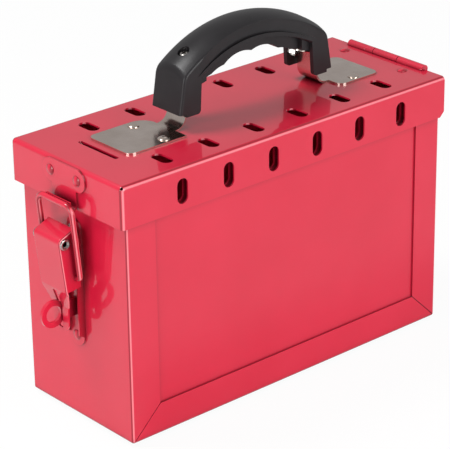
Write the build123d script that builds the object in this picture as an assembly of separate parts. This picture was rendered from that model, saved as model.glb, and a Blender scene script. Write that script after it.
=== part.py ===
from build123d import *
import os
from math import cos, radians, sin, sqrt, tan

# Group lockout box: a small steel box whose hinged lid is kept shut by padlocks through its slots.
# Millimetres. X runs from the latch end (-X) to the hinge end (+X), -Y is the front, Z 0 is the
# surface the feet stand on, and the origin is on that surface under the middle of the whole outline.

# Sheet metal
SHEET = 1.0
BEND_R = 1.6
SEAM = 0.4
RIVET_FIT = 0.05
RUNNING_FIT = 0.05

# Body, folded from one strip: left wall, bottom and right wall with mitred flanges
BODY_LEN = 224.8
BODY_DEPTH = 86.5
BODY_WALL_H = 146.6
FLANGE_LEFT = 18.9
FLANGE_RIGHT = 18.4
FLANGE_BOTTOM = 17.9
PANEL_EDGE_GAP = 0.6

# Button feet, riveted through the bottom
FOOT_H = 2.0
FOOT_D = 9.0
FOOT_EDGE_R = 1.4
FOOT_SHANK_D = 3.2
FOOT_TAIL_D = 5.0
FOOT_TAIL_H = 1.0
FOOT_INSET_LEFT = 15.8
FOOT_INSET_RIGHT = 19.4
FOOT_INSET_Y = 8.2

# Lid, open at the hinge end, with a skirt on the other three sides
LID_GAP = 0.5
LID_BEND_R = 2.4
LID_OVER_LEFT = 4.4
LID_OVER_RIGHT = 0.8
LID_OVER_SIDE = 2.8
SKIRT_H = 23.5
SKIRT_CORNER_R = 3.0
RELIEF_D = 1.6

# Padlock slots: a row on each side of the lid's top, and one through each long skirt and panel
SLOT_COUNT = 6
SLOT_PITCH = 31.24
SLOT_MID_X = 0.8
SLOT_W = 7.1
SLOT_TOP_LEN = 14.2
SLOT_TOP_INSET = 16.0
SLOT_SIDE_LEN = 13.9
SLOT_SIDE_DROP = 13.1

# Key slot beside the handle plate
KEY_SLOT_W = 2.8
KEY_SLOT_LEN = 32.0
KEY_SLOT_INSET = 22.8
KEY_SLOT_Y = 1.1

# Hinge at the right end
KNUCKLE_R = 2.4
HINGE_PIN_D = 2.7
HINGE_LEN = 59.4
HINGE_MID_Y = -1.2
HINGE_LEAF = 14.0
HINGE_CLEAR = 0.4
KNUCKLE_GAP = 0.4
KNUCKLE_SHARES = (0.0, 0.34, 0.66, 1.0)
HINGE_RIVET_IN = 10.0
HINGE_RIVET_Y = 23.0

# Small solid rivets: hinge, strike and latch base
RIVET_HEAD_D = 5.6
RIVET_HEAD_H = 1.2
RIVET_SHANK_D = 3.0
RIVET_TAIL_D = 4.6
RIVET_TAIL_H = 0.9
HEAD_RIM = 0.3

# Blind rivets that hold the handle plates
BLIND_HEAD_D = 6.6
BLIND_HEAD_H = 1.4
BLIND_SHANK_D = 3.2
BLIND_TAIL_D = 4.8
BLIND_TAIL_H = 2.6

# Strike on the lid's left skirt: a riveted plate whose tab curls into a hook
STRIKE_LEN = 35.0
STRIKE_BAND_H = 12.6
STRIKE_DROP = 6.9
STRIKE_TAB_W = 20.0
STRIKE_RIVET_Y = 11.0
HOOK_INNER_R = 1.6
HOOK_DROP = 21.0
HOOK_LIP = 3.0
BAIL_TO_LIP = 0.7
BAIL_ABOVE_HOOK = 2.4

# Latch on the left wall
BASE_W = 12.4
BASE_Z_LOW = 45.0
BASE_Z_HIGH = 118.5
BASE_RIM = 4.0
BASE_RIM_TOP = 92.5
BASE_ARM_ROOT_Z = 82.5
BASE_ARM_BEND_Z = 101.5
BASE_ARM_BEND_OUT = 14.5
EAR_SHOULDER_IN = 1.8
EAR_SHOULDER_UP = 0.5
BASE_RIVET_Z = (51.0, 112.5)
PIVOT_OUT = 14.6
PIVOT_Z = 110.8
PIVOT_BOSS_R = 2.2
PIVOT_PIN_D = 3.2
PIVOT_HEAD_D = 6.2
PIVOT_HEAD_H = 0.9
PIVOT_HEAD_R = 0.5
PIVOT_HOLLOW_D = 2.6
PIVOT_FLARE_D = 4.2
PIVOT_HOLLOW_DEPTH = 9.0
LEVER_W = 22.0
LEVER_BEND_R = 2.6
LEVER_EDGE_R = 0.9
LEVER_TOP_OUT = 17.9
LEVER_TOP_Z = 113.1
LEVER_COVER_OUT = 8.0
LEVER_COVER_Z = 117.1
LEVER_FOOT_OUT = 14.3
LEVER_FOOT_Z = 83.1
LEVER_BACK_OUT = 5.4
TONGUE_OUT = 10.6
TONGUE_TOP_Z = 72.0
TONGUE_END_Z = 56.5
TONGUE_W = 13.0
TONGUE_TAPER_Z = 71.5
TONGUE_SLOT_W = 3.2
TONGUE_SLOT_TOP = 81.5
TONGUE_SLOT_END = 59.1

# Wire bail that pulls the hook down
BAIL_D = 3.0
BAIL_SPAN = 28.0
BAIL_CORNER_R = 5.0
BAIL_PIVOT_OUT = 7.9
BAIL_PIVOT_Z = 90.1
BAIL_END_Y = 7.4

# Padlock staple on the latch base
STAPLE_T = 2.0
STAPLE_RING_R = 7.6
STAPLE_EYE_R = 4.7
STAPLE_OUT = 16.2
STAPLE_Z = 68.2
STAPLE_STEM_H = 10.0

# Handle: a black moulded grip held to the lid by two bent steel straps
HANDLE_MID_X = 5.1
HANDLE_W = 24.0
HANDLE_TOP = 51.0
HANDLE_CROWN_DROP = 3.0
HANDLE_EDGE_R = 1.6
HANDLE_WAIST_DEPTH = 1.4
HANDLE_WAIST_X = 40.0
HANDLE_SHOULDER_X = 50.6
HANDLE_SHOULDER_Z = 34.0
HANDLE_SHOULDER_R = 6.0
HANDLE_LEG_X = 54.5
HANDLE_LEG_Z = 10.0
HANDLE_HEEL_Z = 8.3
HANDLE_HEEL_X = 50.2
HANDLE_LEG_IN_X = 40.6
HANDLE_LEG_EDGE_R = 2.0
HANDLE_ARCH_X = 39.4
HANDLE_ARCH_Z = 27.4
HANDLE_ARCH_TOP = 38.7
HANDLE_WALL = 2.6
HANDLE_HOLLOW_END = 28.6
HANDLE_STRAP_GAP = 0.15
BAND_TOP = 47.9
BAND_DEPTH = 2.9
BAND_X = 38.0
GROOVE_TOP = 42.1
GROOVE_LOW = 41.0
GROOVE_DEPTH = 3.2
GROOVE_X = 42.0
FINGER_CORE_W = 13.0
FINGER_PITCH = 19.2
FINGER_BUMP_MID = 31.8
FINGER_BUMP_SIDE = 28.5
FINGER_END_X = 28.0
SEAT_START_X = 34.0
SEAT_END_X = 42.0
FINGER_RISE = 2.7
FINGER_END_RISE = 0.6
FINGER_BUMP_R = 1.2

# Handle straps
STRAP_W = 15.0
STRAP_X = 46.8
STRAP_FOOT_R = 7.4
STRAP_KNEE_R = 4.0
STRAP_KNEE_Z = 20.0
STRAP_PAST_SCREW = 3.2
STRAP_END_R = 5.0
PLATE_W = 34.6
PLATE_CORNER_R = 4.5
LEFT_PLATE_IN = 54.6
LEFT_PLATE_OUT = 93.0
LEFT_PLATE_ROUND_R = 9.0
LEFT_PLATE_RIVET_X = 66.1
LEFT_PLATE_Y = 0.5
RIGHT_PLATE_IN = 55.9
RIGHT_PLATE_OUT = 85.4
RIGHT_PLATE_RIVET_X = 69.9
PLATE_RIVET_Y = 12.5

# Handle screws and nuts
SCREW_X = 41.6
SCREW_Z = 40.0
SCREW_TILT = 14.5
SCREW_D = 3.0
SCREW_FIT = 0.15
SCREW_HEAD_D = 5.2
SCREW_HEAD_H = 1.9
SCREW_RECESS_D = 6.8
SCREW_RECESS = 3.0
SCREW_PAST_NUT = 1.2
CROSS_LEN = 3.2
CROSS_W = 0.8
CROSS_DEPTH = 1.1
NUT_FLATS = 5.5
NUT_H = 2.4

# Places that follow from the sizes; the body stands off the origin by half of what sticks out further
# at the latch end than at the hinge end
body_mid_x = (STAPLE_OUT + STAPLE_RING_R - 2 * (KNUCKLE_R - SHEET)) / 2
wall_left = body_mid_x - BODY_LEN / 2
wall_right = body_mid_x + BODY_LEN / 2
handle_mid_x = body_mid_x + HANDLE_MID_X
body_y = BODY_DEPTH / 2
body_top = FOOT_H + BODY_WALL_H
lid_top = body_top + LID_GAP + SHEET
lid_under = lid_top - SHEET
lid_left = wall_left - LID_OVER_LEFT
lid_right = wall_right + LID_OVER_RIGHT
lid_y = body_y + LID_OVER_SIDE
skirt_low = lid_top - SKIRT_H
slot_xs = [body_mid_x + SLOT_MID_X + (i - (SLOT_COUNT - 1) / 2) * SLOT_PITCH for i in range(SLOT_COUNT)]
slot_side_z = lid_top - SLOT_SIDE_DROP
slot_top_y = lid_y - SLOT_TOP_INSET
foot_xs = (wall_left + FOOT_INSET_LEFT, wall_right - FOOT_INSET_RIGHT)
foot_y = body_y - FOOT_INSET_Y
hinge_x = wall_right - 2 * SHEET + KNUCKLE_R
hinge_z = lid_top - 2 * SHEET + KNUCKLE_R
hinge_y0 = HINGE_MID_Y - HINGE_LEN / 2
hinge_y1 = HINGE_MID_Y + HINGE_LEN / 2
hinge_leaf_x = hinge_x - KNUCKLE_R - HINGE_CLEAR
hinge_leaf_z = hinge_z - KNUCKLE_R - HINGE_CLEAR
strike_face = lid_left - SHEET
hook_z = lid_top - HOOK_DROP
hook_x = strike_face - HOOK_INNER_R
lip_out = hook_x - HOOK_INNER_R - SHEET
bail_bar_x = lip_out - BAIL_TO_LIP - BAIL_D / 2
pivot_x = wall_left - PIVOT_OUT
bail_x = wall_left - BAIL_PIVOT_OUT
staple_x = wall_left - STAPLE_OUT
tilt = radians(SCREW_TILT)
rivet_hole_r = RIVET_SHANK_D / 2 + RIVET_FIT
blind_hole_r = BLIND_SHANK_D / 2 + RIVET_FIT


def block(x0, x1, y0, y1, z0, z1):
    """Rectangular block between two corners."""
    return Pos((x0 + x1) / 2, (y0 + y1) / 2, (z0 + z1) / 2) * Box(x1 - x0, y1 - y0, z1 - z0)


def plate_xz(points, y0, y1, rounds=()):
    """Flat plate with a straight-sided outline in XZ, some corners rounded, from y0 to y1."""
    face = make_face(Polyline(*points, close=True))
    for corner, radius in rounds:
        vertex = face.vertices().sort_by_distance(Vector(*corner))[0]
        face = fillet(vertex, radius)
    return Pos(0, y1, 0) * extrude(Plane.XZ * face, amount=y1 - y0)


def strip(points, radii, y0, y1):
    """Bent strip of sheet: a mid-line in XZ with rounded bends, carried from y0 to y1."""
    path = Plane.XZ * FilletPolyline(*points, radius=radii)
    start = Plane(origin=path @ 0, x_dir=(0, 1, 0), z_dir=path % 0)
    return Pos(0, (y0 + y1) / 2, 0) * sweep(start * Rectangle(y1 - y0, SHEET), path=path)


def rod(x, y0, y1, z, radius):
    """Round bar along Y."""
    return Pos(x, (y0 + y1) / 2, z) * Rot(90, 0, 0) * Cylinder(radius, y1 - y0)


def rivet(head_d, head_h, shank_d, grip, tail_d, tail_h):
    """Set rivet along Z: domed head above Z 0, shank through the grip, upset tail below it."""
    dome = TangentArc((0, head_h), (head_d / 2, HEAD_RIM), tangent=(1, 0))
    sides = Polyline(
        (head_d / 2, HEAD_RIM),
        (head_d / 2, 0),
        (shank_d / 2, 0),
        (shank_d / 2, -grip),
        (tail_d / 2, -grip),
        (tail_d / 2, -grip - tail_h),
        (0, -grip - tail_h),
        (0, head_h),
    )
    return revolve(Plane.XZ * make_face(dome.edges() + sides.edges()), axis=Axis.Z)


def small_rivet(grip):
    return rivet(RIVET_HEAD_D, RIVET_HEAD_H, RIVET_SHANK_D, grip, RIVET_TAIL_D, RIVET_TAIL_H)


def slot_along_y(x, y, z0, z1, width, length):
    """Round-ended slot through a level sheet, long along Y."""
    return extrude(Pos(x, y, z0) * Rot(0, 0, 90) * SlotOverall(length, width), amount=z1 - z0)


def slot_along_z(x, z, y0, y1, width, length):
    """Round-ended slot through an upright sheet, long along Z."""
    return Pos(x, y1, z) * extrude(Plane.XZ * Rot(0, 0, 90) * SlotOverall(length, width), amount=y1 - y0)


# Body wrap: one strip folded up at both ends, its flanges turned in at front and back
body_front_in = body_y - SHEET
outside = block(wall_left, wall_right, -body_y, body_y, FOOT_H, body_top + BEND_R)
outside = fillet(outside.edges().filter_by(lambda e: e.center().Z < body_top), BEND_R)
floor_top = FOOT_H + SHEET
inside_top = body_top + 2 * BEND_R
inside = block(wall_left + SHEET, wall_right - SHEET, -body_front_in, body_front_in, floor_top, inside_top)
inside = fillet(inside.edges().filter_by(lambda e: e.center().Z < body_top), BEND_R - SHEET)
window_x0 = wall_left + FLANGE_LEFT
window_x1 = wall_right - FLANGE_RIGHT
window_z = FOOT_H + FLANGE_BOTTOM
body_wrap = outside - inside
body_wrap -= block(wall_left - 1, wall_right + 1, -body_y - 1, body_y + 1, body_top, body_top + 3 * BEND_R)
body_wrap -= block(window_x0, window_x1, -body_y - 1, body_y + 1, window_z, body_top + 1)
for corner_x, window_x in ((wall_left, window_x0), (wall_right, window_x1)):
    run = abs(window_x - corner_x)
    slope = sqrt(run**2 + FLANGE_BOTTOM**2)
    nx = SEAM / 2 * FLANGE_BOTTOM / slope
    nz = SEAM / 2 * run / slope
    side = 1 if window_x > corner_x else -1
    outer = (corner_x + side * BEND_R, FOOT_H + BEND_R * FLANGE_BOTTOM / run)
    inner = (window_x + side, window_z + FLANGE_BOTTOM / run)
    mitre = [
        (outer[0] - nx, outer[1] + side * nz),
        (inner[0] - nx, inner[1] + side * nz),
        (inner[0] + nx, inner[1] - side * nz),
        (outer[0] + nx, outer[1] - side * nz),
    ]
    body_wrap -= plate_xz(mitre, -body_y - 1, -body_front_in + 0.01)
    body_wrap -= plate_xz(mitre, body_front_in - 0.01, body_y + 1)
body_wrap -= block(
    wall_right - SHEET - 1, wall_right + 1, hinge_y0 - SEAM, hinge_y1 + SEAM, hinge_leaf_z, body_top + 1
)
for foot_x in foot_xs:
    for y in (-foot_y, foot_y):
        body_wrap -= Pos(foot_x, y, FOOT_H) * Cylinder(FOOT_SHANK_D / 2 + RIVET_FIT, 4 * SHEET)
body_rivet_z = hinge_z - HINGE_RIVET_IN
for y in (-HINGE_RIVET_Y, HINGE_RIVET_Y):
    body_wrap -= Pos(wall_right, y, body_rivet_z) * Rot(0, 90, 0) * Cylinder(rivet_hole_r, 6 * SHEET)
for z in BASE_RIVET_Z:
    body_wrap -= Pos(wall_left, 0, z) * Rot(0, 90, 0) * Cylinder(rivet_hole_r, 6 * SHEET)


def side_panel(side):
    """Front or back panel: a plain sheet spot-welded behind the flanges, slotted near its top."""
    y_near = body_front_in - SHEET
    panel = block(
        wall_left + SHEET + PANEL_EDGE_GAP,
        wall_right - SHEET - PANEL_EDGE_GAP,
        y_near,
        body_front_in,
        FOOT_H + SHEET + PANEL_EDGE_GAP,
        body_top,
    )
    for x in slot_xs:
        panel -= slot_along_z(x, slot_side_z, y_near - 1, body_front_in + 1, SLOT_W, SLOT_SIDE_LEN)
    return panel if side > 0 else mirror(panel, about=Plane.XZ)


front_panel = side_panel(-1)
back_panel = side_panel(1)

# Button feet under the four corners: a round-edged pad, its shank upset inside the bottom
foot_profile = make_face(
    Polyline(
        (0, 0),
        (FOOT_D / 2, 0),
        (FOOT_D / 2, FOOT_H),
        (FOOT_SHANK_D / 2, FOOT_H),
        (FOOT_SHANK_D / 2, FOOT_H + SHEET),
        (FOOT_TAIL_D / 2, FOOT_H + SHEET),
        (FOOT_TAIL_D / 2, FOOT_H + SHEET + FOOT_TAIL_H),
        (0, FOOT_H + SHEET + FOOT_TAIL_H),
        close=True,
    )
)
foot_rim = foot_profile.vertices().sort_by_distance(Vector(FOOT_D / 2, 0))[0]
foot = revolve(Plane.XZ * fillet(foot_rim, FOOT_EDGE_R), axis=Axis.Z)
foot_buttons = Compound(children=[Pos(x, y, 0) * foot for x in foot_xs for y in (-foot_y, foot_y)])

# Lid shell: top and three skirts from one blank, its corners welded and dressed round, a relief hole in each
outside = block(lid_left, lid_right + 10, -lid_y, lid_y, skirt_low - 5, lid_top)
folds = outside.edges().filter_by(lambda e: e.center().Z > skirt_low - 4 and e.center().X < lid_right + 9)
outside = fillet(folds, LID_BEND_R)
inner_y = lid_y - SHEET
inside = block(lid_left + SHEET, lid_right + 11, -inner_y, inner_y, skirt_low - 6, lid_under)
folds = inside.edges().filter_by(lambda e: e.center().Z > skirt_low - 5 and e.center().X < lid_right + 10)
inside = fillet(folds, LID_BEND_R - SHEET)
lid_shell = outside - inside
lid_shell -= block(lid_left - 1, lid_right + 12, -lid_y - 1, lid_y + 1, skirt_low - 7, skirt_low)
lid_shell -= block(lid_right, lid_right + 12, -lid_y - 1, lid_y + 1, skirt_low - 1, lid_top + 1)
skirt_end = [
    (lid_right - SKIRT_CORNER_R, skirt_low - 1),
    (lid_right + 1, skirt_low - 1),
    (lid_right + 1, skirt_low + SKIRT_CORNER_R),
    (lid_right, skirt_low + SKIRT_CORNER_R),
    (lid_right - SKIRT_CORNER_R, skirt_low),
]
lid_shell -= plate_xz(skirt_end, -lid_y - 1, lid_y + 1)
for side in (-1, 1):
    ball_mid = (lid_left + LID_BEND_R, side * (lid_y - LID_BEND_R), lid_top - LID_BEND_R)
    corner = Plane(origin=ball_mid, z_dir=(-1, side, 1))
    lid_shell -= corner * Pos(0, 0, LID_BEND_R) * Cylinder(RELIEF_D / 2, 2 * LID_BEND_R)
lid_shell -= block(hinge_leaf_x, lid_right + 1, hinge_y0 - SEAM, hinge_y1 + SEAM, lid_under - 1, lid_top + 1)
for x in slot_xs:
    for side in (-1, 1):
        lid_shell -= slot_along_y(x, side * slot_top_y, lid_under - 1, lid_top + 1, SLOT_W, SLOT_TOP_LEN)
    lid_shell -= slot_along_z(x, slot_side_z, -lid_y - 1, lid_y + 1, SLOT_W, SLOT_SIDE_LEN)
key_x = lid_left + KEY_SLOT_INSET
lid_shell -= slot_along_y(key_x, KEY_SLOT_Y, lid_under - 1, lid_top + 1, KEY_SLOT_W, KEY_SLOT_LEN)
lid_rivet_x = hinge_x - HINGE_RIVET_IN
for y in (-HINGE_RIVET_Y, HINGE_RIVET_Y):
    lid_shell -= Pos(lid_rivet_x, y, lid_top) * Cylinder(rivet_hole_r, 6 * SHEET)
strike_z = lid_top - STRIKE_DROP
for y in (-STRIKE_RIVET_Y, STRIKE_RIVET_Y):
    hole = Pos(lid_left, y, strike_z) * Rot(0, 90, 0) * Cylinder(rivet_hole_r, 6 * SHEET)
    lid_shell -= hole
left_rivets = [(handle_mid_x - LEFT_PLATE_RIVET_X, LEFT_PLATE_Y + side * PLATE_RIVET_Y) for side in (-1, 1)]
right_rivets = [(handle_mid_x + RIGHT_PLATE_RIVET_X, side * PLATE_RIVET_Y) for side in (-1, 1)]
for x, y in left_rivets + right_rivets:
    lid_shell -= Pos(x, y, lid_top) * Cylinder(blind_hole_r, 6 * SHEET)


def knuckle_span(index):
    """Ends along Y of one hinge knuckle, with the gap to its neighbours taken off."""
    y0 = hinge_y0 + HINGE_LEN * KNUCKLE_SHARES[index]
    y1 = hinge_y0 + HINGE_LEN * KNUCKLE_SHARES[index + 1]
    low = y0 if index == 0 else y0 + KNUCKLE_GAP / 2
    high = y1 if index == len(KNUCKLE_SHARES) - 2 else y1 - KNUCKLE_GAP / 2
    return low, high


# Hinge leaves: the outer knuckles belong to the body, the middle one to the lid
pin_hole_r = HINGE_PIN_D / 2 + RUNNING_FIT
leaf_x0 = hinge_x - KNUCKLE_R
leaf_x1 = leaf_x0 + SHEET
hinge_body_leaf = block(leaf_x0, leaf_x1, hinge_y0, hinge_y1, hinge_leaf_z - HINGE_LEAF, hinge_leaf_z)
for index in (0, 2):
    y0, y1 = knuckle_span(index)
    hinge_body_leaf += block(leaf_x0, leaf_x1, y0, y1, hinge_leaf_z - 1, hinge_z)
    hinge_body_leaf += rod(hinge_x, y0, y1, hinge_z, KNUCKLE_R)
hinge_body_leaf -= rod(hinge_x, hinge_y0 - 1, hinge_y1 + 1, hinge_z, pin_hole_r)
leaf_z0 = hinge_z - KNUCKLE_R
leaf_z1 = leaf_z0 + SHEET
hinge_lid_leaf = block(hinge_leaf_x - HINGE_LEAF, hinge_leaf_x, hinge_y0, hinge_y1, leaf_z0, leaf_z1)
y0, y1 = knuckle_span(1)
hinge_lid_leaf += block(hinge_leaf_x - 1, hinge_x, y0, y1, leaf_z0, leaf_z1)
hinge_lid_leaf += rod(hinge_x, y0, y1, hinge_z, KNUCKLE_R)
hinge_lid_leaf -= rod(hinge_x, hinge_y0 - 1, hinge_y1 + 1, hinge_z, pin_hole_r)
for y in (-HINGE_RIVET_Y, HINGE_RIVET_Y):
    hole = Pos(wall_right, y, body_rivet_z) * Rot(0, 90, 0) * Cylinder(rivet_hole_r, 8 * SHEET)
    hinge_body_leaf -= hole
    hinge_lid_leaf -= Pos(lid_rivet_x, y, lid_top) * Cylinder(rivet_hole_r, 8 * SHEET)
hinge_pin = rod(hinge_x, hinge_y0, hinge_y1, hinge_z, HINGE_PIN_D / 2)
hinge_lid_rivets = Compound(
    children=[Pos(lid_rivet_x, y, lid_top) * small_rivet(2 * SHEET) for y in (-HINGE_RIVET_Y, HINGE_RIVET_Y)]
)
hinge_body_rivets = Compound(
    children=[
        Pos(wall_right, y, body_rivet_z) * Rot(0, 90, 0) * small_rivet(2 * SHEET)
        for y in (-HINGE_RIVET_Y, HINGE_RIVET_Y)
    ]
)

# Strike plate: round-ended band riveted to the skirt, its tab curled out and up into a hook
band = Plane.YZ * SlotOverall(STRIKE_LEN, STRIKE_BAND_H)
strike_plate = Pos(strike_face, 0, strike_z) * extrude(band, amount=SHEET)
hook_mid = HOOK_INNER_R + SHEET / 2
hook_line = [
    (strike_face + SHEET / 2, strike_z),
    (strike_face + SHEET / 2, hook_z - hook_mid),
    (hook_x - hook_mid, hook_z - hook_mid),
    (hook_x - hook_mid, hook_z + HOOK_LIP),
]
strike_plate += strip(hook_line, hook_mid - 0.02, -STRIKE_TAB_W / 2, STRIKE_TAB_W / 2)
for y in (-STRIKE_RIVET_Y, STRIKE_RIVET_Y):
    hole = Pos(strike_face, y, strike_z) * Rot(0, 90, 0) * Cylinder(rivet_hole_r, 6 * SHEET)
    strike_plate -= hole
strike_rivets = Compound(
    children=[
        Pos(strike_face, y, strike_z) * Rot(0, -90, 0) * small_rivet(2 * SHEET)
        for y in (-STRIKE_RIVET_Y, STRIKE_RIVET_Y)
    ]
)

# Latch base: a narrow channel on the left wall whose two ears reach out to the lever's pivot
base_plate = Plane.YZ * SlotOverall(BASE_Z_HIGH - BASE_Z_LOW, BASE_W, rotation=90)
base_mid_z = (BASE_Z_LOW + BASE_Z_HIGH) / 2
latch_base = Pos(wall_left - SHEET, 0, base_mid_z) * extrude(base_plate, amount=SHEET)
rim_low_z = BASE_Z_LOW + BASE_W / 2
ear_outline = [
    (wall_left - SHEET / 2, rim_low_z),
    (wall_left - BASE_RIM, rim_low_z + BASE_RIM / 2),
    (wall_left - BASE_RIM, BASE_ARM_ROOT_Z),
    (wall_left - BASE_ARM_BEND_OUT, BASE_ARM_BEND_Z),
    (pivot_x - PIVOT_BOSS_R, PIVOT_Z),
    (pivot_x + EAR_SHOULDER_IN, PIVOT_Z + EAR_SHOULDER_UP),
    (wall_left - BASE_RIM, BASE_RIM_TOP),
    (wall_left - SHEET / 2, BASE_RIM_TOP),
]
for side in (-1, 1):
    y0, y1 = sorted((side * BASE_W / 2, side * (BASE_W / 2 - SHEET)))
    ear = plate_xz(ear_outline, y0, y1)
    ear += rod(pivot_x, y0, y1, PIVOT_Z, PIVOT_BOSS_R)
    latch_base += ear
latch_base -= rod(pivot_x, -BASE_W, BASE_W, PIVOT_Z, PIVOT_PIN_D / 2 + RUNNING_FIT)
for z in BASE_RIVET_Z:
    hole = Pos(wall_left, 0, z) * Rot(0, 90, 0) * Cylinder(rivet_hole_r, 6 * SHEET)
    latch_base -= hole
latch_base_rivets = Compound(
    children=[
        Pos(wall_left - SHEET, 0, z) * Rot(0, -90, 0) * small_rivet(2 * SHEET) for z in BASE_RIVET_Z
    ]
)

# Lever: a channel-shaped cover with closed top, its slotted tongue passing over the staple
lever_line = [
    (wall_left - LEVER_COVER_OUT, LEVER_COVER_Z),
    (wall_left - LEVER_TOP_OUT, LEVER_TOP_Z),
    (wall_left - LEVER_FOOT_OUT, LEVER_FOOT_Z),
    (wall_left - TONGUE_OUT, TONGUE_TOP_Z),
    (wall_left - TONGUE_OUT, TONGUE_END_Z),
]
side_outline = [
    (wall_left - LEVER_COVER_OUT, LEVER_COVER_Z),
    (wall_left - LEVER_TOP_OUT, LEVER_TOP_Z),
    (wall_left - LEVER_FOOT_OUT, LEVER_FOOT_Z),
    (wall_left - LEVER_BACK_OUT, LEVER_FOOT_Z + SHEET),
    (wall_left - LEVER_BACK_OUT, PIVOT_Z),
]
latch_lever = strip(lever_line, LEVER_BEND_R, -LEVER_W / 2, LEVER_W / 2)
for side in (-1, 1):
    y0, y1 = sorted((side * LEVER_W / 2, side * (LEVER_W / 2 - SHEET)))
    latch_lever += plate_xz(side_outline, y0, y1, [((wall_left - LEVER_TOP_OUT, LEVER_TOP_Z), LEVER_BEND_R)])
long_edges = latch_lever.edges().filter_by(
    lambda e: abs(abs(e.center().Y) - LEVER_W / 2) < 0.01
    and e.length > SHEET
    and (e.center().X < wall_left - LEVER_FOOT_OUT - SHEET or e.center().Z > LEVER_TOP_Z + 2 * SHEET)
)
latch_lever = fillet(long_edges, LEVER_EDGE_R)
front_view = [
    (-LEVER_W / 2 - 1, LEVER_COVER_Z + 5),
    (LEVER_W / 2 + 1, LEVER_COVER_Z + 5),
    (LEVER_W / 2 + 1, LEVER_FOOT_Z - SHEET),
    (LEVER_W / 2, LEVER_FOOT_Z - SHEET),
    (TONGUE_W / 2, TONGUE_TAPER_Z),
    (TONGUE_W / 2, TONGUE_END_Z),
    (-TONGUE_W / 2, TONGUE_END_Z),
    (-TONGUE_W / 2, TONGUE_TAPER_Z),
    (-LEVER_W / 2, LEVER_FOOT_Z - SHEET),
    (-LEVER_W / 2 - 1, LEVER_FOOT_Z - SHEET),
]
outline = make_face(Polyline(*front_view, close=True))
tongue_end_r = TONGUE_W / 2 - 0.2
for y in (-TONGUE_W / 2, TONGUE_W / 2):
    corner = outline.vertices().sort_by_distance(Vector(y, TONGUE_END_Z))[0]
    outline = fillet(corner, tongue_end_r)
latch_lever &= Pos(wall_left - 30, 0, 0) * extrude(Plane.YZ * outline, amount=30)
latch_lever -= rod(pivot_x, -LEVER_W, LEVER_W, PIVOT_Z, PIVOT_PIN_D / 2 + RUNNING_FIT)
latch_lever -= rod(bail_x, -LEVER_W, LEVER_W, BAIL_PIVOT_Z, BAIL_D / 2 + RUNNING_FIT)
tongue_slot = block(
    wall_left - TONGUE_OUT - 4,
    wall_left - TONGUE_OUT + 4,
    -TONGUE_SLOT_W / 2,
    TONGUE_SLOT_W / 2,
    TONGUE_SLOT_END,
    TONGUE_SLOT_TOP,
)
latch_lever -= tongue_slot

# Tubular pivot pin with a rolled head at each end
pin_half = LEVER_W / 2 + RUNNING_FIT
head = Pos(0, 0, PIVOT_HEAD_H / 2) * Cylinder(PIVOT_HEAD_D / 2, PIVOT_HEAD_H)
head = fillet(head.edges().sort_by(Axis.Z)[-1], PIVOT_HEAD_R)
head -= Pos(0, 0, PIVOT_HEAD_H / 2) * Cone(PIVOT_HOLLOW_D / 2, PIVOT_FLARE_D / 2, PIVOT_HEAD_H)
lever_pivot_pin = rod(pivot_x, -pin_half, pin_half, PIVOT_Z, PIVOT_PIN_D / 2)
for side in (-1, 1):
    lever_pivot_pin += Pos(pivot_x, side * pin_half, PIVOT_Z) * Rot(-90 * side, 0, 0) * head
    mouth = pin_half + PIVOT_HEAD_H
    y0, y1 = sorted((side * (mouth + 1), side * (mouth - PIVOT_HOLLOW_DEPTH)))
    lever_pivot_pin -= rod(pivot_x, y0, y1, PIVOT_Z, PIVOT_HOLLOW_D / 2)

# Bail: one bent wire, its ends turned in through the lever's cheeks
bail_bar_z = hook_z + BAIL_ABOVE_HOOK
leg_y = BAIL_SPAN / 2
bail_path = FilletPolyline(
    (bail_x, -BAIL_END_Y, BAIL_PIVOT_Z),
    (bail_x, -leg_y, BAIL_PIVOT_Z),
    (bail_bar_x, -leg_y, bail_bar_z),
    (bail_bar_x, leg_y, bail_bar_z),
    (bail_x, leg_y, BAIL_PIVOT_Z),
    (bail_x, BAIL_END_Y, BAIL_PIVOT_Z),
    radius=[BAIL_D / 2 + 0.6, BAIL_CORNER_R, BAIL_CORNER_R, BAIL_D / 2 + 0.6],
)
bail_start = Plane(origin=bail_path @ 0, z_dir=bail_path % 0)
bail_loop = sweep(bail_start * Circle(BAIL_D / 2), path=bail_path)

# Padlock staple: a flat eye welded between the ears of the base
padlock_staple = rod(staple_x, -STAPLE_T / 2, STAPLE_T / 2, STAPLE_Z, STAPLE_RING_R)
padlock_staple += block(
    staple_x,
    wall_left - SHEET,
    -STAPLE_T / 2,
    STAPLE_T / 2,
    STAPLE_Z - STAPLE_STEM_H / 2,
    STAPLE_Z + STAPLE_STEM_H / 2,
)
padlock_staple -= rod(staple_x, -STAPLE_T, STAPLE_T, STAPLE_Z, STAPLE_EYE_R)


def arch(top, half_chord, chord_z):
    """Centre height and radius of an arch through its top and two level feet."""
    rise = top - chord_z
    radius = (half_chord**2 + rise**2) / (2 * rise)
    return top - radius, radius


def corners(face, points):
    """The corners of a face that lie nearest to some points."""
    return [face.vertices().sort_by_distance(Vector(*point))[0] for point in points]


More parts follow.
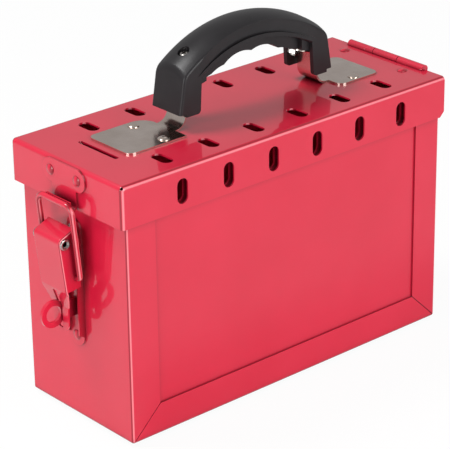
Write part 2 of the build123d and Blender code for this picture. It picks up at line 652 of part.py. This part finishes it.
# Handle grip, drawn about its own middle and then set on the lid
half_w = HANDLE_W / 2
crown_z, crown_r = arch(HANDLE_TOP, HANDLE_SHOULDER_X, HANDLE_SHOULDER_Z)
lower_z, lower_r = arch(HANDLE_ARCH_TOP, HANDLE_ARCH_X, HANDLE_ARCH_Z)
leg_slope = (HANDLE_LEG_X - HANDLE_SHOULDER_X) / (HANDLE_SHOULDER_Z - HANDLE_LEG_Z)
over_crown_z = HANDLE_TOP + 1
arch_foot = (HANDLE_ARCH_X, HANDLE_ARCH_Z)
right_leg = [
    (HANDLE_SHOULDER_X - leg_slope * (over_crown_z - HANDLE_SHOULDER_Z), over_crown_z),
    (HANDLE_LEG_X, HANDLE_LEG_Z),
    (HANDLE_HEEL_X, HANDLE_LEG_Z),
    (HANDLE_HEEL_X, HANDLE_HEEL_Z),
    (HANDLE_LEG_IN_X, HANDLE_HEEL_Z),
    arch_foot,
]
left_leg = [(-x, z) for x, z in right_leg]
outline = [
    Line(left_leg[0], right_leg[0]),
    Polyline(*right_leg),
    ThreePointArc(right_leg[-1], (0, HANDLE_ARCH_TOP), left_leg[-1]),
    Polyline(*left_leg),
]
side_view = make_face([edge for line in outline for edge in line.edges()])
side_view = fillet(corners(side_view, [left_leg[4], right_leg[4]]), HANDLE_LEG_EDGE_R)
grip = Pos(0, half_w, 0) * extrude(Plane.XZ * side_view, amount=HANDLE_W)

# The crown is domed across its width by the same drop all the way from shoulder to shoulder
edge_z = HANDLE_TOP - HANDLE_CROWN_DROP
dome = ThreePointArc((-half_w, edge_z), (0, HANDLE_TOP), (half_w, edge_z))
dome_sides = Polyline((half_w, edge_z), (half_w, crown_z), (-half_w, crown_z), (-half_w, edge_z))
dome_section = make_face(dome.edges() + dome_sides.edges())
grip &= revolve(Plane.YZ * dome_section, axis=Axis((0, 0, crown_z), (0, 1, 0)))
shoulder_edges = grip.edges().filter_by(
    lambda e: abs(e.center().Y) < 0.01
    and e.length > half_w
    and e.center().Z > HANDLE_SHOULDER_Z - HANDLE_CROWN_DROP
    and abs(e.center().X) > HANDLE_ARCH_X
)
grip = fillet(shoulder_edges, HANDLE_SHOULDER_R)
outer_edges = grip.edges().filter_by(
    lambda e: abs(abs(e.center().Y) - half_w) < 0.01
    and (abs(e.center().X) > HANDLE_HEEL_X - HANDLE_SHOULDER_R or e.center().Z > HANDLE_ARCH_TOP)
    and e.center().Z > HANDLE_LEG_Z + 0.01
)
grip = fillet(outer_edges, HANDLE_EDGE_R)


def side_scoop(side, depth, reach):
    """Cutter that hollows one long side in plan by a depth at mid-length, fading out at a reach."""
    radius = (reach**2 + depth**2) / (2 * depth)
    return Pos(0, side * (half_w - depth + radius), 0) * Cylinder(radius, 4 * HANDLE_TOP)


# The sides draw in to a waist, with a sunk band under the crown's lip and a groove above the arch's rim
across = 4 * half_w
under_lip = rod(0, -across, across, crown_z, BAND_TOP - crown_z)
under_band = rod(0, -across, across, lower_z, GROOVE_TOP - lower_z)
under_groove = rod(0, -across, across, lower_z, GROOVE_LOW - lower_z)
for side in (-1, 1):
    grip -= side_scoop(side, HANDLE_WAIST_DEPTH, HANDLE_WAIST_X)
    grip -= (under_lip - under_band) & side_scoop(side, BAND_DEPTH, BAND_X)
    grip -= (under_band - under_groove) & side_scoop(side, GROOVE_DEPTH, GROOVE_X)

# The legs are hollow, and each hollow's ceiling is the seat that the strap is screwed up against
seat_lift = SHEET / 2 + HANDLE_STRAP_GAP


def ceiling(x):
    """Height of the hollow's ceiling at a distance from the handle's middle."""
    return STRAP_KNEE_Z + seat_lift * cos(tilt) + (STRAP_X + seat_lift * sin(tilt) - x) * tan(tilt)


hollow_out = HANDLE_SHOULDER_X - HANDLE_WALL
for side in (-1, 1):
    hollow = [
        (side * (HANDLE_LEG_X - HANDLE_WALL), HANDLE_HEEL_Z - 5),
        (side * hollow_out, ceiling(hollow_out)),
        (side * HANDLE_HOLLOW_END, ceiling(HANDLE_HOLLOW_END)),
        (side * HANDLE_HOLLOW_END, HANDLE_HEEL_Z - 5),
    ]
    grip -= plate_xz(hollow, -half_w + HANDLE_WALL, half_w - HANDLE_WALL)

# Finger grip under the arch: four scallops between rounded bumps, carried on as seats for the straps' ends
bumps = [
    (-FINGER_END_X, ceiling(FINGER_END_X)),
    (-FINGER_PITCH, FINGER_BUMP_SIDE),
    (0, FINGER_BUMP_MID),
    (FINGER_PITCH, FINGER_BUMP_SIDE),
    (FINGER_END_X, ceiling(FINGER_END_X)),
]
core_root = lower_z + sqrt((lower_r + 1) ** 2 - SEAT_END_X**2)
seat_foot = ceiling(SEAT_END_X)
core_lines = [
    Polyline(bumps[-1], (SEAT_END_X, seat_foot), (SEAT_END_X, core_root)),
    ThreePointArc((SEAT_END_X, core_root), (0, HANDLE_ARCH_TOP + 1), (-SEAT_END_X, core_root)),
    Polyline((-SEAT_END_X, core_root), (-SEAT_END_X, seat_foot), bumps[0]),
]
for near, far in zip(bumps, bumps[1:]):
    rise = FINGER_RISE if min(abs(near[0]), abs(far[0])) < FINGER_PITCH else FINGER_END_RISE
    mid = ((near[0] + far[0]) / 2, (near[1] + far[1]) / 2 + rise)
    core_lines.append(ThreePointArc(near, mid, far))
core_face = make_face([edge for line in core_lines for edge in line.edges()])
core_face = fillet(corners(core_face, bumps[1:-1]), FINGER_BUMP_R)
grip += Pos(0, FINGER_CORE_W / 2, 0) * extrude(Plane.XZ * core_face, amount=FINGER_CORE_W)
seat_root = lower_z + sqrt((lower_r + 1) ** 2 - SEAT_START_X**2)
for side in (-1, 1):
    seat_block = [
        (side * SEAT_START_X, ceiling(SEAT_START_X)),
        (side * SEAT_END_X, seat_foot),
        (side * SEAT_END_X, core_root),
        (side * SEAT_START_X, seat_root),
    ]
    grip += plate_xz(seat_block, -half_w + HANDLE_WALL, half_w - HANDLE_WALL)
for side in (-1, 1):
    seat = Pos(side * SCREW_X, 0, SCREW_Z) * Rot(0, side * SCREW_TILT, 0)
    grip -= seat * Cylinder(SCREW_D / 2 + SCREW_FIT, 2 * HANDLE_SHOULDER_Z)
    grip -= seat * Pos(0, 0, SCREW_RECESS_D - SCREW_RECESS) * Cylinder(SCREW_RECESS_D / 2, 2 * SCREW_RECESS_D)
handle_grip = Pos(handle_mid_x, 0, lid_top) * grip

# Where the screw's axis meets the middle of the strap
strap_run = (STRAP_X - SCREW_X) * cos(tilt) + (SCREW_Z - STRAP_KNEE_Z) * sin(tilt)
screw_reach = (SCREW_Z - STRAP_KNEE_Z) * cos(tilt) - (STRAP_X - SCREW_X) * sin(tilt)
strap_end = strap_run + STRAP_PAST_SCREW


def handle_bracket(side, plate, rivet_spots):
    """One strap of sheet from its riveted plate up into the handle's leg."""
    line = [
        (side * (STRAP_X + 1.5 * STRAP_FOOT_R), SHEET / 2),
        (side * STRAP_X, SHEET / 2),
        (side * STRAP_X, STRAP_KNEE_Z),
        (side * (STRAP_X - strap_end * cos(tilt)), STRAP_KNEE_Z + strap_end * sin(tilt)),
    ]
    bracket = strip(line, [STRAP_FOOT_R, STRAP_KNEE_R], -STRAP_W / 2, STRAP_W / 2)
    end_corners = bracket.edges().filter_by(lambda e: e.length < 1.1 * SHEET).sort_by(Axis.Z)[-2:]
    bracket = fillet(end_corners, STRAP_END_R)
    bracket += extrude(plate, amount=SHEET)
    for x, y in rivet_spots:
        bracket -= Pos(x - handle_mid_x, y, 0) * Cylinder(blind_hole_r, 6 * SHEET)
    seat = Pos(side * SCREW_X, 0, SCREW_Z) * Rot(0, side * SCREW_TILT, 0)
    bracket -= seat * Pos(0, 0, -screw_reach) * Cylinder(SCREW_D / 2 + SCREW_FIT, 6 * SHEET)
    return Pos(handle_mid_x, 0, lid_top) * bracket


# Left plate: full width up to the strap, one inner corner well rounded and one square
front_y = LEFT_PLATE_Y - PLATE_W / 2
back_y = LEFT_PLATE_Y + PLATE_W / 2
left_corners = [
    (-LEFT_PLATE_OUT, front_y),
    (-LEFT_PLATE_IN, front_y),
    (-LEFT_PLATE_IN, back_y),
    (-LEFT_PLATE_OUT, back_y),
]
left_plate = make_face(Polyline(*left_corners, close=True))
left_plate = fillet(corners(left_plate, [left_corners[0], left_corners[3]]), PLATE_CORNER_R)
left_plate = fillet(corners(left_plate, [left_corners[2]]), LEFT_PLATE_ROUND_R)
handle_bracket_left = handle_bracket(-1, left_plate, left_rivets)

# Right plate: rounded at all four corners, with the strap leaving it as a neck
right_plate = Pos((RIGHT_PLATE_IN + RIGHT_PLATE_OUT) / 2, 0) * RectangleRounded(
    RIGHT_PLATE_OUT - RIGHT_PLATE_IN, PLATE_W, PLATE_CORNER_R
)
handle_bracket_right = handle_bracket(1, right_plate, right_rivets)


def plate_rivets(spots):
    """The pair of blind rivets that hold one handle plate to the lid."""
    one = rivet(BLIND_HEAD_D, BLIND_HEAD_H, BLIND_SHANK_D, 2 * SHEET, BLIND_TAIL_D, BLIND_TAIL_H)
    return Compound(children=[Pos(x, y, lid_top + SHEET) * one for x, y in spots])


bracket_rivets_left = plate_rivets(left_rivets)
bracket_rivets_right = plate_rivets(right_rivets)

# Cross-recess screws down through the shoulders, and the nuts under the straps
screw_length = screw_reach - SCREW_RECESS + SHEET / 2 + NUT_H + SCREW_PAST_NUT
screw = Pos(0, 0, SCREW_HEAD_H / 2) * Cylinder(SCREW_HEAD_D / 2, SCREW_HEAD_H)
screw = fillet(screw.edges().sort_by(Axis.Z)[-1], SCREW_HEAD_H / 2)
screw += Pos(0, 0, -screw_length / 2) * Cylinder(SCREW_D / 2, screw_length)
screw -= Pos(0, 0, SCREW_HEAD_H) * Box(CROSS_LEN, CROSS_W, 2 * CROSS_DEPTH)
screw -= Pos(0, 0, SCREW_HEAD_H) * Box(CROSS_W, CROSS_LEN, 2 * CROSS_DEPTH)
nut = extrude(RegularPolygon(NUT_FLATS / 2, 6, major_radius=False), amount=NUT_H)
nut -= Cylinder(SCREW_D / 2 + RIVET_FIT, 4 * NUT_H)
handle_screws = []
handle_nuts = []
for side in (-1, 1):
    seat = Pos(handle_mid_x + side * SCREW_X, 0, lid_top + SCREW_Z) * Rot(0, side * SCREW_TILT, 0)
    handle_screws.append(seat * Pos(0, 0, -SCREW_RECESS) * screw)
    handle_nuts.append(seat * Pos(0, 0, -screw_reach - SHEET / 2 - NUT_H) * nut)
handle_screws = Compound(children=handle_screws)
handle_nuts = Compound(children=handle_nuts)

nodes = {
    "body_wrap": body_wrap,
    "front_panel": front_panel,
    "back_panel": back_panel,
    "foot_buttons": foot_buttons,
    "lid_shell": lid_shell,
    "hinge_body_leaf": hinge_body_leaf,
    "hinge_lid_leaf": hinge_lid_leaf,
    "hinge_pin": hinge_pin,
    "hinge_body_rivets": hinge_body_rivets,
    "hinge_lid_rivets": hinge_lid_rivets,
    "strike_plate": strike_plate,
    "strike_rivets": strike_rivets,
    "latch_base": latch_base,
    "latch_base_rivets": latch_base_rivets,
    "padlock_staple": padlock_staple,
    "latch_lever": latch_lever,
    "lever_pivot_pin": lever_pivot_pin,
    "bail_loop": bail_loop,
    "handle_grip": handle_grip,
    "handle_bracket_left": handle_bracket_left,
    "handle_bracket_right": handle_bracket_right,
    "handle_screws": handle_screws,
    "handle_nuts": handle_nuts,
    "bracket_rivets_left": bracket_rivets_left,
    "bracket_rivets_right": bracket_rivets_right,
}
os.makedirs("parts", exist_ok=True)
for name, shape in nodes.items():
    export_step(shape, f"parts/{name}.step")
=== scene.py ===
import bmesh
import bpy
import math
from mathutils import Matrix, Vector

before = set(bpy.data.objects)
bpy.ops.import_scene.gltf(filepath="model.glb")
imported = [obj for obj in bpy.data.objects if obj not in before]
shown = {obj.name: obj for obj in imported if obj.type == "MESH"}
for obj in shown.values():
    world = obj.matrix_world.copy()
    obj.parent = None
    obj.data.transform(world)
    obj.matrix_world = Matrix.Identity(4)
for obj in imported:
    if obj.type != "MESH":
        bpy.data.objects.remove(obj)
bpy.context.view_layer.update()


# Camera: a long lens from the front left and above, as the photograph was taken.
# Its angles, lens and place follow from the straight edges of the box. Places here are in millimetres.
mm = 0.001
azimuth, elevation, roll = math.radians(-40.823), math.radians(24.126), math.radians(-0.85)
box_middle = Vector((8.684, 0, 73.27))
eye_right, eye_up, eye_back = -5.961, 6.436, 1252.3
level = math.cos(elevation)
back = Vector((math.sin(azimuth) * level, -math.cos(azimuth) * level, math.sin(elevation)))
right = Vector((0, 0, 1)).cross(back).normalized()
up = back.cross(right)
right, up = (
    math.cos(roll) * right + math.sin(roll) * up,
    -math.sin(roll) * right + math.cos(roll) * up,
)
eye = box_middle + eye_right * right + eye_up * up + eye_back * back
camera = bpy.data.objects.new("photo_camera", bpy.data.cameras.new("photo_camera"))
camera.data.sensor_width = 36
camera.data.lens = 181.66
camera.data.clip_start = 0.05
camera.data.clip_end = 50
camera.matrix_world = Matrix.Translation(eye * mm) @ Matrix((right, up, back)).transposed().to_4x4()
bpy.context.scene.collection.objects.link(camera)
bpy.context.scene.camera = camera
bpy.context.scene.view_settings.view_transform = "Standard"


# Body, lid, hinge and latch: folded and riveted sheet steel, sprayed together in bright red gloss enamel.
# A clear mirror-like top coat lies over a softer pigment. Faint waves in the sheet bend its reflections,
# and the colour drifts a little. Painted shade darkens it in corners, and a painted shade band and a
# painted highlight line run along the folds.
def srgb(code):
    """A '#RRGGBB' colour as the linear RGBA that Blender's sockets take."""
    parts = [int(code[i:i + 2], 16) / 255 for i in (1, 3, 5)]
    return [*(p / 12.92 if p <= 0.04045 else ((p + 0.055) / 1.055) ** 2.4 for p in parts), 1.0]


def blank(name):
    """A new node material with no nodes in it."""
    material = bpy.data.materials.new(name)
    material.use_nodes = True
    material.node_tree.nodes.clear()
    return material


def add(material, kind, settings=None, inputs=None, stops=()):
    """Adds a node with its settings. Each input is given a value or another node's output, and a
    colour ramp its stops as (place, grey or RGBA)."""
    tree = material.node_tree
    node = tree.nodes.new(kind)
    for name, value in (settings or {}).items():
        setattr(node, name, value)
    for name, value in (inputs or {}).items():
        if isinstance(value, bpy.types.NodeSocket):
            tree.links.new(value, node.inputs[name])
        else:
            node.inputs[name].default_value = value
    if stops:
        bar = node.color_ramp.elements
        while len(bar) < len(stops):
            bar.new(0.5)
        for element, (place, value) in zip(bar, stops):
            element.position = place
            element.color = value if isinstance(value, list) else (value, value, value, 1.0)
    return node


def paint(node, material):
    """Gives a CAD node's object one material on all its faces."""
    slots = shown[node].material_slots
    if not slots:
        shown[node].data.materials.append(material)
    for slot in slots:
        slot.material = material


enamel = blank("gloss red enamel on steel")
place = add(enamel, "ShaderNodeTexCoord").outputs["Object"]

# Pigment: its tone drifts over about 60 mm.
drift = add(enamel, "ShaderNodeTexNoise", {}, {"Vector": place, "Scale": 1 / (60 * mm), "Detail": 3.0})
tone = add(enamel, "ShaderNodeValToRGB", {}, {"Fac": drift.outputs["Fac"]}, [
    (0.3, srgb("#D8173A")), (0.7, srgb("#E01F41"))])

# Folds along the box's length: how far a bend has turned to the front or back says where on it a point
# lies. A painted shade band on its flatter half and a painted highlight line on its steep half are part
# of the colour here. They stand in for the reflections on the real box's bends.
facing = add(enamel, "ShaderNodeTexCoord").outputs["Normal"]
sides = add(enamel, "ShaderNodeSeparateXYZ", {}, {"Vector": facing})
turned = add(enamel, "ShaderNodeMath", {"operation": "ABSOLUTE"}, {0: sides.outputs["Y"]})
painted_shade_band = add(enamel, "ShaderNodeValToRGB", {}, {"Fac": turned.outputs[0]}, [
    (0.12, 0.0), (0.32, 0.8), (0.60, 0.8), (0.69, 0.0), (0.985, 0.0)])
painted_highlight_line = add(enamel, "ShaderNodeValToRGB", {}, {"Fac": turned.outputs[0]}, [
    (0.66, 0.0), (0.77, 0.75), (0.92, 0.75), (0.985, 0.0)])
# Mixes the painted shade band, then the painted highlight line, into the pigment colour.
with_painted_shade = add(enamel, "ShaderNodeMix", {"data_type": "RGBA"}, {
    0: painted_shade_band.outputs["Color"], 6: tone.outputs["Color"], 7: srgb("#8C0A1E")})
with_painted_highlight = add(enamel, "ShaderNodeMix", {"data_type": "RGBA"}, {
    0: painted_highlight_line.outputs["Color"], 6: with_painted_shade.outputs[2], 7: srgb("#FF98A2")})

# Painted shade: the colour is darkened in corners within about 6 mm of another face.
painted_corner_shade = add(enamel, "ShaderNodeAmbientOcclusion", {"samples": 8}, {
    "Distance": 6 * mm, "Color": with_painted_highlight.outputs[2]})

# Relief: orange peel about 3.5 mm across under the top coat, and waves about 40 mm long in the sheet.
ripple = add(enamel, "ShaderNodeTexNoise", {}, {"Vector": place, "Scale": 1 / (3.5 * mm), "Detail": 2.0})
sway = add(enamel, "ShaderNodeTexNoise", {}, {"Vector": place, "Scale": 1 / (40 * mm), "Detail": 1.0})
orange_peel = add(enamel, "ShaderNodeBump", {}, {
    "Strength": 0.04, "Distance": 0.1 * mm, "Height": ripple.outputs["Fac"]})
wave = add(enamel, "ShaderNodeBump", {}, {
    "Strength": 0.08, "Distance": 0.8 * mm, "Height": sway.outputs["Fac"]})
gloss = add(enamel, "ShaderNodeValToRGB", {}, {"Fac": drift.outputs["Fac"]}, [(0.25, 0.30), (0.75, 0.38)])
coat = add(enamel, "ShaderNodeBsdfPrincipled", {}, {
    "Base Color": painted_corner_shade.outputs["Color"], "Roughness": gloss.outputs["Color"],
    "Normal": orange_peel.outputs["Normal"], "Specular IOR Level": 0.25,
    "Coat Weight": 1.0, "Coat Roughness": 0.03, "Coat IOR": 1.5, "Coat Normal": wave.outputs["Normal"]})
add(enamel, "ShaderNodeOutputMaterial", {}, {"Surface": coat.outputs[0]})
for node in (
    "body_wrap", "front_panel", "back_panel", "foot_buttons", "lid_shell",
    "hinge_body_leaf", "hinge_lid_leaf", "hinge_pin", "hinge_body_rivets", "hinge_lid_rivets",
    "strike_plate", "strike_rivets", "latch_base", "latch_base_rivets", "padlock_staple",
    "latch_lever", "bail_loop",
):
    paint(node, enamel)


# Handle: one black ABS moulding, screwed to its straps. The mould was spark-eroded, which leaves a fine
# matt grain on the plastic. The real grain is under 0.1 mm, so it is drawn at 0.8 mm to show at all.
abs_black = blank("black moulded ABS")
place = add(abs_black, "ShaderNodeTexCoord").outputs["Object"]
grain = add(abs_black, "ShaderNodeTexNoise", {}, {"Vector": place, "Scale": 1 / (0.8 * mm), "Detail": 3.0})
cloud = add(abs_black, "ShaderNodeTexNoise", {}, {"Vector": place, "Scale": 1 / (20 * mm), "Detail": 2.0})
relief = add(abs_black, "ShaderNodeBump", {}, {
    "Strength": 0.25, "Distance": 0.1 * mm, "Height": grain.outputs["Fac"]})
tone = add(abs_black, "ShaderNodeValToRGB", {}, {"Fac": cloud.outputs["Fac"]}, [
    (0.3, srgb("#201E20")), (0.7, srgb("#282628"))])
gloss = add(abs_black, "ShaderNodeValToRGB", {}, {"Fac": cloud.outputs["Fac"]}, [(0.3, 0.30), (0.7, 0.38)])
moulded = add(abs_black, "ShaderNodeBsdfPrincipled", {}, {
    "Base Color": tone.outputs["Color"], "Roughness": gloss.outputs["Color"],
    "Normal": relief.outputs["Normal"], "Specular IOR Level": 0.3})
add(abs_black, "ShaderNodeOutputMaterial", {}, {"Surface": moulded.outputs[0]})
paint("handle_grip", abs_black)


# Handle straps and their blind rivets: bare stainless strip, bent and riveted down, never painted.
# The mill's brushing runs along the strip. Its real lines are under 0.1 mm apart, so they are drawn
# 0.4 mm apart and about 17 mm long to show, with faint smears of handling over them.
stainless = blank("brushed stainless steel strip")
place = add(stainless, "ShaderNodeTexCoord").outputs["Object"]
along = add(stainless, "ShaderNodeMapping", {}, {
    "Vector": place, "Scale": (60.0, 1 / (0.4 * mm), 1 / (0.4 * mm))})
brushing = add(stainless, "ShaderNodeTexNoise", {}, {
    "Vector": along.outputs["Vector"], "Scale": 1.0, "Detail": 4.0})
smear = add(stainless, "ShaderNodeTexNoise", {}, {"Vector": place, "Scale": 1 / (12 * mm), "Detail": 3.0})
tone = add(stainless, "ShaderNodeValToRGB", {}, {"Fac": smear.outputs["Fac"]}, [
    (0.3, srgb("#D3C3B9")), (0.7, srgb("#E2D4CB"))])
gloss = add(stainless, "ShaderNodeValToRGB", {}, {"Fac": brushing.outputs["Fac"]}, [
    (0.3, 0.14), (0.7, 0.22)])
relief = add(stainless, "ShaderNodeBump", {}, {
    "Strength": 0.06, "Distance": 0.1 * mm, "Height": brushing.outputs["Fac"]})
metal = add(stainless, "ShaderNodeBsdfPrincipled", {}, {
    "Base Color": tone.outputs["Color"], "Roughness": gloss.outputs["Color"],
    "Normal": relief.outputs["Normal"], "Metallic": 1.0})
add(stainless, "ShaderNodeOutputMaterial", {}, {"Surface": metal.outputs[0]})
for node in ("handle_bracket_left", "handle_bracket_right", "bracket_rivets_left", "bracket_rivets_right"):
    paint(node, stainless)


# Lever's tubular pivot rivet, handle screws and nuts: mild steel with bright electroplated zinc.
# The plate is smooth and almost a mirror, dulled in patches of about 4 mm by handling.
zinc = blank("bright zinc plate")
place = add(zinc, "ShaderNodeTexCoord").outputs["Object"]
smear = add(zinc, "ShaderNodeTexNoise", {}, {"Vector": place, "Scale": 1 / (4 * mm), "Detail": 3.0})
tone = add(zinc, "ShaderNodeValToRGB", {}, {"Fac": smear.outputs["Fac"]}, [
    (0.3, srgb("#A39E9A")), (0.7, srgb("#BAB5B1"))])
gloss = add(zinc, "ShaderNodeValToRGB", {}, {"Fac": smear.outputs["Fac"]}, [(0.3, 0.14), (0.7, 0.24)])
plate = add(zinc, "ShaderNodeBsdfPrincipled", {}, {
    "Base Color": tone.outputs["Color"], "Roughness": gloss.outputs["Color"], "Metallic": 1.0})
add(zinc, "ShaderNodeOutputMaterial", {}, {"Surface": plate.outputs[0]})
for node in ("lever_pivot_pin", "handle_screws", "handle_nuts"):
    paint(node, zinc)


# Floor: a pale seamless sheet of studio paper under the box, not part of the object.
# The camera sees it washed out to white by most of its tone, which leaves a trace of the shadow.
white_strength = 1.02
washed_out = 0.93
floor_half = 3.0
paper = blank("white studio paper")
place = add(paper, "ShaderNodeTexCoord").outputs["Object"]
fibre = add(paper, "ShaderNodeTexNoise", {}, {"Vector": place, "Scale": 1 / (50 * mm), "Detail": 2.0})
tone = add(paper, "ShaderNodeValToRGB", {}, {"Fac": fibre.outputs["Fac"]}, [
    (0.3, srgb("#E2E2E2")), (0.7, srgb("#E6E6E6"))])
sheet = add(paper, "ShaderNodeBsdfDiffuse", {}, {"Color": tone.outputs["Color"]})
glow = add(paper, "ShaderNodeEmission", {}, {"Color": (1, 1, 1, 1), "Strength": white_strength})
paths = add(paper, "ShaderNodeLightPath")
wash = add(paper, "ShaderNodeMath", {"operation": "MULTIPLY"}, {
    0: paths.outputs["Is Camera Ray"], 1: washed_out})
both = add(paper, "ShaderNodeMixShader", {}, {0: wash.outputs[0], 1: sheet.outputs[0], 2: glow.outputs[0]})
add(paper, "ShaderNodeOutputMaterial", {}, {"Surface": both.outputs[0]})
mesh = bpy.data.meshes.new("floor")
form = bmesh.new()
bmesh.ops.create_grid(form, x_segments=1, y_segments=1, size=floor_half)
form.to_mesh(mesh)
form.free()
floor = bpy.data.objects.new("floor", mesh)
floor.data.materials.append(paper)
bpy.context.scene.collection.objects.link(floor)


# Light: a white surround, and square soft panels above and behind, in front and at the left.
# The camera sees the surround white. Reflections see it pale grey, and it fills the shadows more faintly.
fill_strength = 0.25
reflected_strength = 0.40
world = bpy.data.worlds.new("white studio")
bpy.context.scene.world = world
world.use_nodes = True
world.node_tree.nodes.clear()
paths = add(world, "ShaderNodeLightPath")
seen = add(world, "ShaderNodeMath", {"operation": "MAXIMUM"}, {
    0: paths.outputs["Is Camera Ray"], 1: paths.outputs["Is Transmission Ray"]})
dimmed = add(world, "ShaderNodeMapRange", {}, {
    "Value": paths.outputs["Is Glossy Ray"], "To Min": fill_strength, "To Max": reflected_strength})
soft = add(world, "ShaderNodeBackground", {}, {
    "Color": (1, 1, 1, 1), "Strength": dimmed.outputs["Result"]})
white = add(world, "ShaderNodeBackground", {}, {"Color": (1, 1, 1, 1), "Strength": white_strength})
pick = add(world, "ShaderNodeMixShader", {}, {0: seen.outputs[0], 1: soft.outputs[0], 2: white.outputs[0]})
add(world, "ShaderNodeOutputWorld", {}, {"Surface": pick.outputs[0]})
for name, spot, aim, size, watts in (
    ("top_panel_light", (-0.45, 0.4, 1.15), (0, 0, 0.12), 0.4, 8.6),
    ("front_panel_light", (0.3, -1.55, 0.5), (0, 0, 0.06), 1.0, 16.8),
    ("left_panel_light", (-1.65, -0.3, 0.5), (0, 0, 0.08), 0.9, 13.2),
):
    light = bpy.data.lights.new(name, "AREA")
    light.shape = "SQUARE"
    light.size = size
    light.energy = watts
    holder = bpy.data.objects.new(name, light)
    holder.location = spot
    holder.rotation_mode = "QUATERNION"
    holder.rotation_quaternion = (Vector(aim) - Vector(spot)).to_track_quat("-Z", "Y")
    bpy.context.scene.collection.objects.link(holder)
